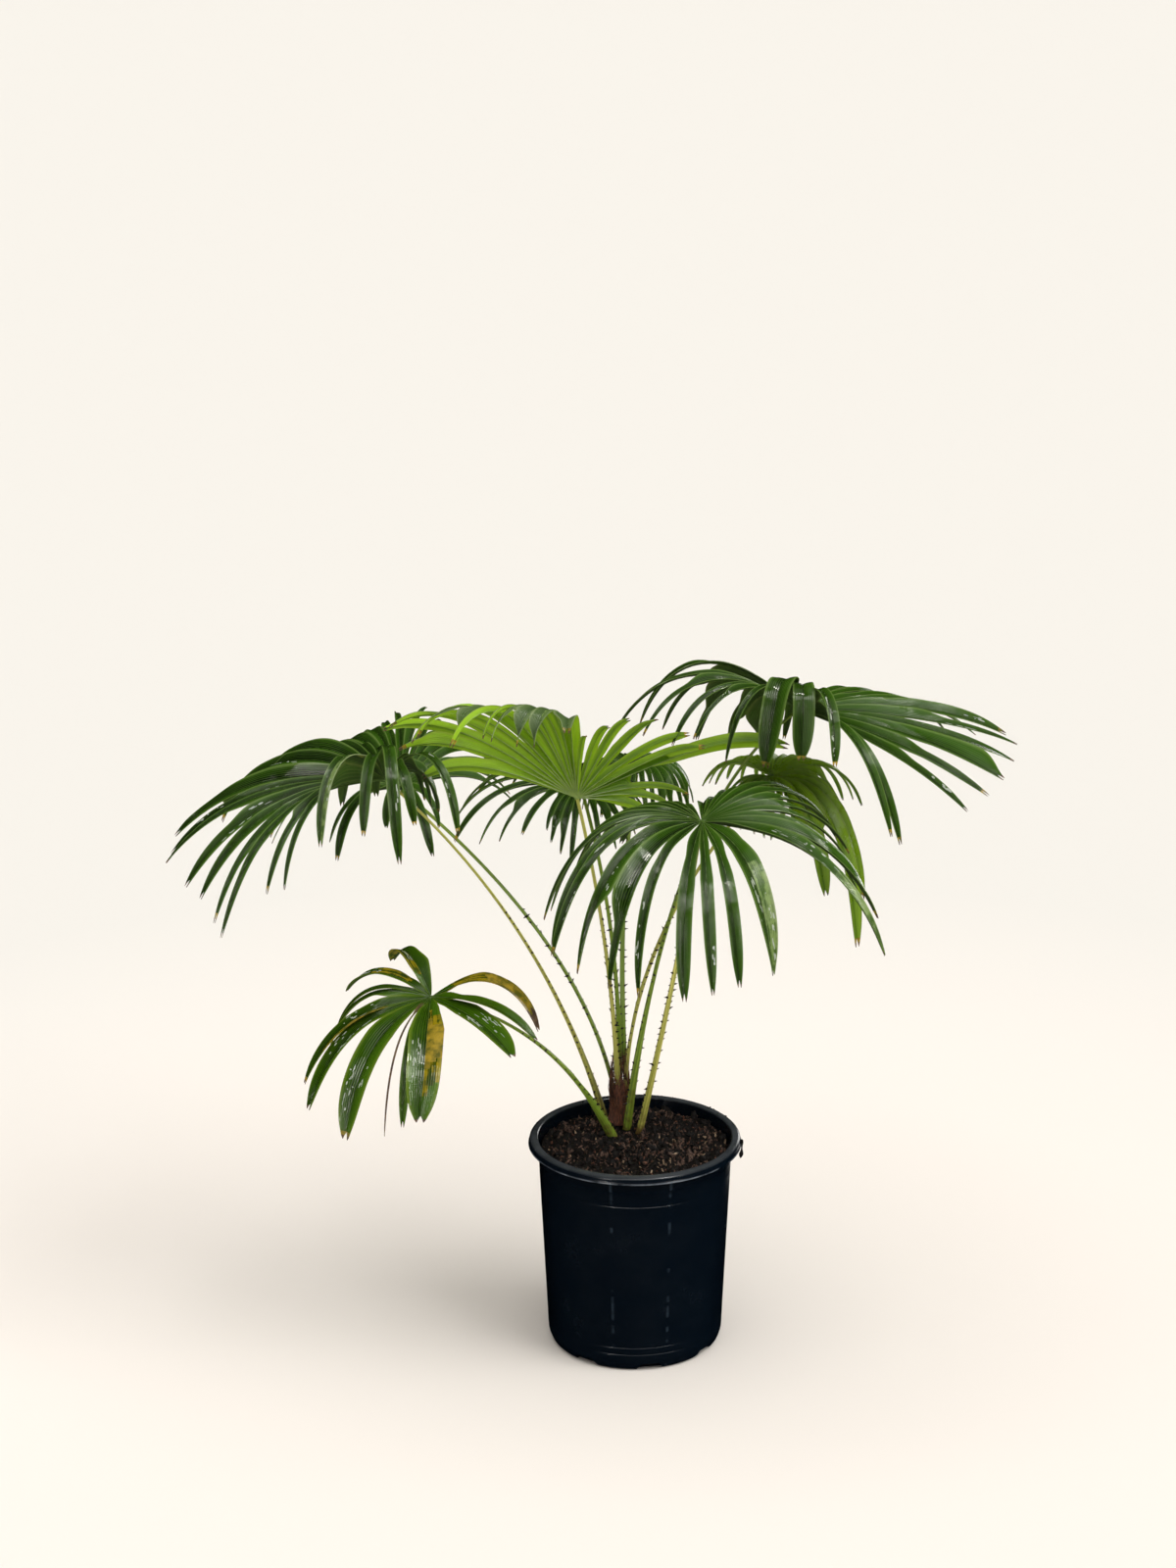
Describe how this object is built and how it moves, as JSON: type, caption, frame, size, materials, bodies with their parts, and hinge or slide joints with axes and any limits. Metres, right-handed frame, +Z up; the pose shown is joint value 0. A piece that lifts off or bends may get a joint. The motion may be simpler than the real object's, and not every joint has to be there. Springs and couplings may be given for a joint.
{
  "type": "potted fan palm",
  "caption": "Young fan palm in a round black nursery pot: long thorny petioles rise from a short fibrous crown and carry pleated fan blades with drooping segments.",
  "frame": {"origin": "middle of the pot's flat underside, at the level of the floor that it stands on", "axes": "+Z up along the pot's axis; the plant is seen from the front along +Y, with +X to the right, along its widest spread"},
  "size_m": [0.9651, 0.4877, 0.8154],
  "materials": {
    "pot_plastic": "semi-gloss black with a navy tinge",
    "potting_mix": "rough, moist bark mix",
    "crown_fibre": "fibrous, reddish brown",
    "petiole": "smooth and green, with brown thorns on both margins",
    "blade": "glossy, wet in places, with fine pale ribs along it",
    "blade_young": "glossy, bright yellow-green, light shows through it"
  },
  "bodies": {
    "root": {"pot": "pot_plastic", "potting_mix": "potting_mix", "crown": "crown_fibre", "petiole_low_left": "petiole", "petiole_left_front": "petiole", "petiole_left_back": "petiole", "petiole_centre_young": "petiole", "petiole_centre_back": "petiole", "petiole_right_inner": "petiole", "petiole_right_back": "petiole", "petiole_upper_right": "petiole", "petiole_front_right": "petiole", "blade_low_left": "blade", "blade_left_front": "blade", "blade_left_back": "blade", "blade_centre_young": "blade_young", "blade_centre_back": "blade", "blade_right_inner": "blade", "blade_right_back": "blade", "blade_upper_right": "blade", "blade_front_right": "blade"}
  },
  "joints": []
}
